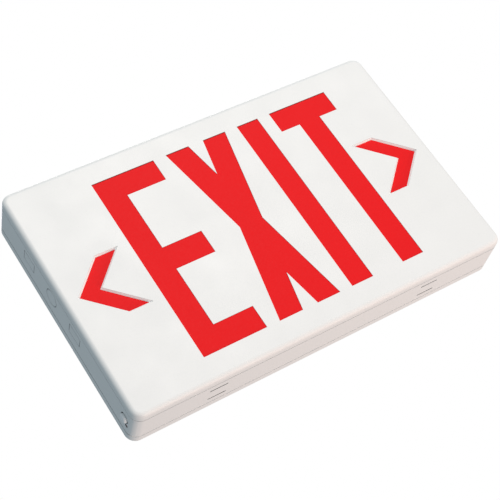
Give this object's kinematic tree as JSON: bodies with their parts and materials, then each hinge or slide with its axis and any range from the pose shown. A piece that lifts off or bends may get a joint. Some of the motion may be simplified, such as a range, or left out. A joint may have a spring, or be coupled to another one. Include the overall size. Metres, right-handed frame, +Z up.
{
  "type": "emergency exit light",
  "caption": "Flat moulded emergency exit light: cut-out legend and arrows over a red lens, light strips, battery, charger board and a sprung test button.",
  "frame": {"origin": "centre of the flat back face, where the light meets the wall", "axes": "+X to the right as the legend is read, +Y back into the wall, +Z up as installed"},
  "size_m": [0.3132, 0.038, 0.192],
  "materials": {
    "white_housing": "fine moulded texture, satin",
    "red_lens": "translucent, fine matt",
    "circuit_board": "solder mask",
    "diode_package": "moulded",
    "plated_steel": "zinc plated",
    "core_laminations": "varnished silicon steel",
    "black_plastic": "moulded",
    "copper_tape": "insulating tape over copper",
    "can_sleeve": "shrunk sleeve",
    "resistor_body": "lacquered",
    "terminal_green": "moulded",
    "ivory_plastic": "moulded",
    "battery_sleeve": "shrunk sleeve",
    "pilot_red": "tinted clear",
    "button_white": "polished",
    "spring_steel": "bright",
    "wire_red": "insulation",
    "wire_black": "insulation",
    "wire_white": "insulation"
  },
  "bodies": {
    "housing": {"front_cover": "white_housing", "legend_lens": "red_lens", "housing_frame": "white_housing", "rear_cover": "white_housing", "upper_strip_board": "circuit_board", "upper_strip_diodes": "diode_package", "lower_strip_board": "circuit_board", "lower_strip_diodes": "diode_package", "charger_board": "circuit_board", "board_screws": "plated_steel", "transformer_core": "core_laminations", "transformer_former": "black_plastic", "transformer_winding": "copper_tape", "reservoir_capacitor": "can_sleeve", "filter_capacitor": "can_sleeve", "transfer_relay": "black_plastic", "charging_transistor": "black_plastic", "rectifier_diodes": "black_plastic", "resistors": "resistor_body", "supply_terminal_block": "terminal_green", "terminal_screws": "plated_steel", "test_header": "ivory_plastic", "test_plug": "ivory_plastic", "upper_strip_header": "ivory_plastic", "upper_strip_plug": "ivory_plastic", "lower_strip_header": "ivory_plastic", "lower_strip_plug": "ivory_plastic", "battery_header": "ivory_plastic", "battery_plug": "ivory_plastic", "battery_pack": "battery_sleeve", "battery_strap": "white_housing", "strap_screws": "plated_steel", "switch_board": "circuit_board", "test_switch": "black_plastic", "pilot_lamp": "pilot_red", "pilot_lamp_leads": "plated_steel", "battery_lead_red": "wire_red", "battery_lead_black": "wire_black", "upper_strip_lead_red": "wire_red", "upper_strip_lead_black": "wire_black", "lower_strip_lead_red": "wire_red", "lower_strip_lead_black": "wire_black", "switch_lead_white": "wire_white", "switch_lead_red": "wire_red", "switch_lead_black": "wire_black"},
    "button": {"test_button": "button_white", "switch_plunger": "black_plastic", "button_spring": "spring_steel"}
  },
  "joints": [
    {"name": "test_press", "type": "slide", "parent": "housing", "child": "button", "axis": [1, 0, 0], "range_m": [0, 0.002], "stiffness_N_per_m": 300, "springref_m": -0.001, "deforming": ["button_spring"]}
  ]
}
